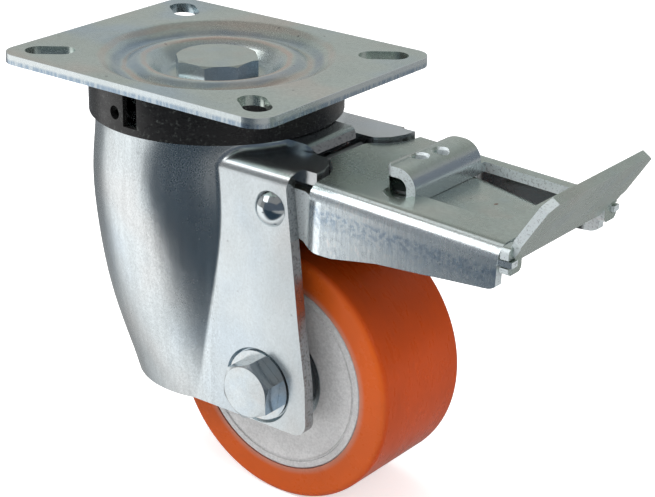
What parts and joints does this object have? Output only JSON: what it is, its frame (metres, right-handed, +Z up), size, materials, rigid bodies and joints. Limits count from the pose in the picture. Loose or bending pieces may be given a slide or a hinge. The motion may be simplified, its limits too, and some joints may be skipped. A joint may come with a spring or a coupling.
{
  "type": "swivel castor with brake",
  "caption": "Swivel castor with slotted top plate, deep-drawn fork, orange polyurethane wheel and a pedal that locks wheel and swivel.",
  "frame": {"origin": "on the swivel axis, in the plate's mounting face, at the middle of the four slots", "axes": "+Z up out of the mounting face, +X in the rolling direction towards the pedal, Y along the wheel's axle"},
  "size_m": [0.2448, 0.11, 0.1682],
  "materials": {
    "plate_zinc": "bright zinc plated pressed steel",
    "fork_zinc": "bright zinc plated deep-drawn steel",
    "lever_zinc": "bright zinc plated folded steel",
    "leaf_zinc": "zinc plated spring steel with a few rust specks",
    "flap_zinc": "zinc plated steel plate",
    "bolt_zinc": "bright zinc plated fastener",
    "washer_zinc": "bright zinc plated washer",
    "rivet_zinc": "smooth bright rivet head",
    "inner_steel": "plain zinc plated steel",
    "ball_steel": "polished and greased balls",
    "bearing_steel": "ground bearing steel",
    "shoe_steel": "plain zinc plated steel",
    "tongue_steel": "dark hardened steel",
    "seal_black": "matt black seal",
    "ring_black": "smooth black plastic, low sheen",
    "hub_aluminium": "matt die-cast light metal with a turned rim",
    "tread_orange": "cast polyurethane, satin"
  },
  "bodies": {
    "base": {"top_plate": "plate_zinc", "king_bolt": "bolt_zinc", "king_washer": "inner_steel", "king_nut": "inner_steel", "lower_race": "inner_steel", "lock_ring": "inner_steel", "dust_ring": "ring_black"},
    "swivel_fork": {"fork": "fork_zinc", "upper_balls": "ball_steel", "lower_balls": "ball_steel", "axle_bolt": "bolt_zinc", "axle_nut": "bolt_zinc", "axle_washers": "washer_zinc", "axle_sleeve": "inner_steel", "axle_spacers": "inner_steel", "bearing_inner_rings": "bearing_steel", "pivot_rivets": "rivet_zinc"},
    "wheel": {"wheel_hub": "hub_aluminium", "tread": "tread_orange", "bearing_outer_rings": "bearing_steel", "bearing_balls": "ball_steel", "bearing_seals": "seal_black"},
    "lever": {"brake_lever": "lever_zinc", "brake_leaf": "leaf_zinc", "brake_shoe": "shoe_steel", "shoe_rivets": "shoe_steel", "lock_tongue": "tongue_steel"},
    "flap": {"pedal_flap": "flap_zinc"}
  },
  "joints": [
    {"name": "swivel_turn", "type": "hinge", "parent": "base", "child": "swivel_fork", "pos_m": [0, 0, 0], "axis": [0, 0, 1], "continuous": true},
    {"name": "wheel_spin", "type": "hinge", "parent": "swivel_fork", "child": "wheel", "pos_m": [0.052, 0, -0.1157], "axis": [0, 1, 0], "continuous": true},
    {"name": "brake_press", "type": "hinge", "parent": "swivel_fork", "child": "lever", "pos_m": [0.0576, 0, -0.0408], "axis": [0, 1, 0], "range_deg": [0, 8]},
    {"name": "flap_tilt", "type": "hinge", "parent": "lever", "child": "flap", "pos_m": [0.16055, 0, -0.03575], "axis": [0, 1, 0], "range_deg": [0, 5]}
  ]
}
